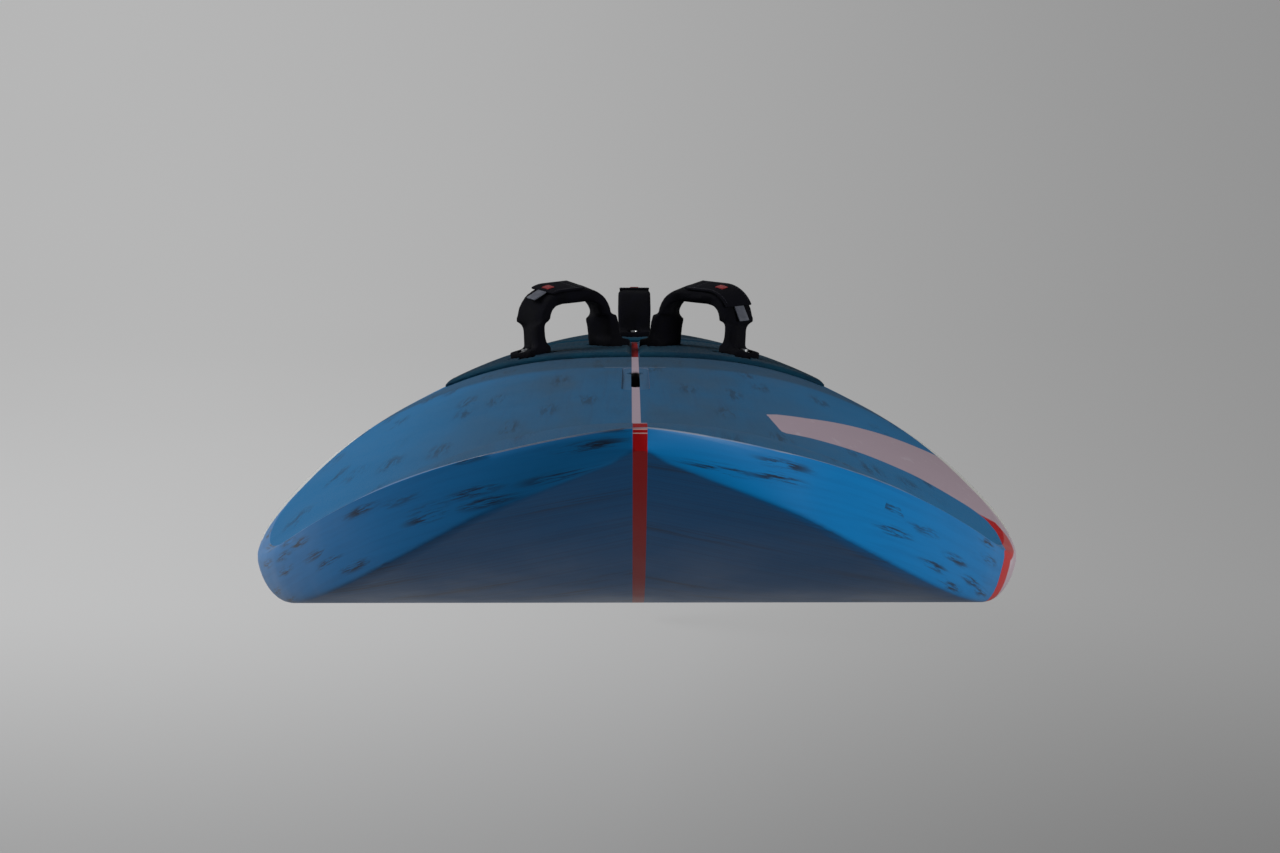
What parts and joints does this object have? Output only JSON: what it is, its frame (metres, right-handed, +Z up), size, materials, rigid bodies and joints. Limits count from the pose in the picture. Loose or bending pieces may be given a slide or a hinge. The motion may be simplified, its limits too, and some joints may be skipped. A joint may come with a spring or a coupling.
{
  "type": "windsurf board",
  "caption": "Windsurf board with scooped nose, mast track, deck pads, padded footstraps, air vent and bolted fin.",
  "frame": {"origin": "on the flat bottom, under the centreline at half the length", "axes": "+X to the right when the nose is looked at, +Y from nose to tail, +Z up through the deck"},
  "size_m": [0.77, 2.299, 0.6679],
  "materials": {
    "epoxy_paint": "blue stained veneer look under satin lacquer",
    "bottom_paint": "dark blue stained veneer look under satin lacquer",
    "foam": "expanded bead foam, unpainted, inside the hull",
    "dense_foam": "high-density foam inserts",
    "box_plastic": "black moulded plastic",
    "pad_foam": "dark teal diamond-grooved foam pads",
    "strap_fabric": "black padded neoprene with stitched edges",
    "webbing": "grey woven webbing",
    "flap_fabric": "black hook-and-loop closing flap",
    "tab_grip": "grey pull tab",
    "tag_red": "small plain red woven tag",
    "steel": "stainless screws, bolts and washers",
    "fin_laminate": "black glass-fibre laminate",
    "seal_rubber": "black sealing ring",
    "vent_plastic": "red vent screw"
  },
  "bodies": {
    "board": {"foam_core": "foam", "bottom_shell": "bottom_paint", "deck_shell_nose": "epoxy_paint", "deck_shell": "epoxy_paint", "mast_track_block": "dense_foam", "mast_track_box": "epoxy_paint", "fin_box_block": "dense_foam", "fin_box": "box_plastic", "fin": "fin_laminate", "fin_bolts": "steel", "fin_washers": "steel", "vent_housing": "box_plastic", "plugs_front_left_outer": "box_plastic", "plugs_front_left_inner": "box_plastic", "plugs_front_right_outer": "box_plastic", "plugs_front_right_inner": "box_plastic", "plugs_rear_fore": "box_plastic", "plugs_rear_aft": "box_plastic", "pad_front_left": "pad_foam", "pad_front_right": "pad_foam", "pad_rear": "pad_foam", "strap_left_webbing": "webbing", "strap_left_cover": "strap_fabric", "strap_left_plates": "box_plastic", "strap_left_washers": "steel", "strap_left_screws": "steel", "strap_right_webbing": "webbing", "strap_right_cover": "strap_fabric", "strap_right_plates": "box_plastic", "strap_right_washers": "steel", "strap_right_screws": "steel", "strap_rear_webbing": "webbing", "strap_rear_cover": "strap_fabric", "strap_rear_plates": "box_plastic", "strap_rear_washers": "steel", "strap_rear_screws": "steel"},
    "flap_left": {"strap_left_flap": "flap_fabric", "strap_left_tab": "tab_grip", "strap_left_tag": "tag_red"},
    "flap_right": {"strap_right_flap": "flap_fabric", "strap_right_tab": "tab_grip", "strap_right_tag": "tag_red"},
    "flap_rear": {"strap_rear_flap": "flap_fabric", "strap_rear_tab": "tab_grip", "strap_rear_tag": "tag_red"},
    "vent_ring": {"vent_seal": "seal_rubber"},
    "vent_plug": {"vent_screw": "vent_plastic"}
  },
  "joints": [
    {"name": "flap_left_peel", "type": "hinge", "parent": "board", "child": "flap_left", "pos_m": [-0.08668, 0.36567, 0.21141], "axis": [-0.6163, 0.7747, 0.1416], "range_deg": [0, 85]},
    {"name": "flap_right_peel", "type": "hinge", "parent": "board", "child": "flap_right", "pos_m": [0.08668, 0.36567, 0.21141], "axis": [-0.6163, -0.7747, -0.1416], "range_deg": [0, 85]},
    {"name": "flap_rear_peel", "type": "hinge", "parent": "board", "child": "flap_rear", "pos_m": [0, 0.71667, 0.17642], "axis": [1, 0, 0], "range_deg": [0, 85]},
    {"name": "vent_lift", "type": "slide", "parent": "board", "child": "vent_ring", "axis": [0, 0, 1], "range_m": [0, 0.006]},
    {"name": "vent_turn", "type": "hinge", "parent": "vent_ring", "child": "vent_plug", "pos_m": [0, 0.565, 0.1], "axis": [0, 0, 1], "range_deg": [0, 1440]}
  ],
  "couplings": [
    {"joint": "vent_turn", "follows": "vent_lift", "rad_per_m": 4188.8}
  ]
}
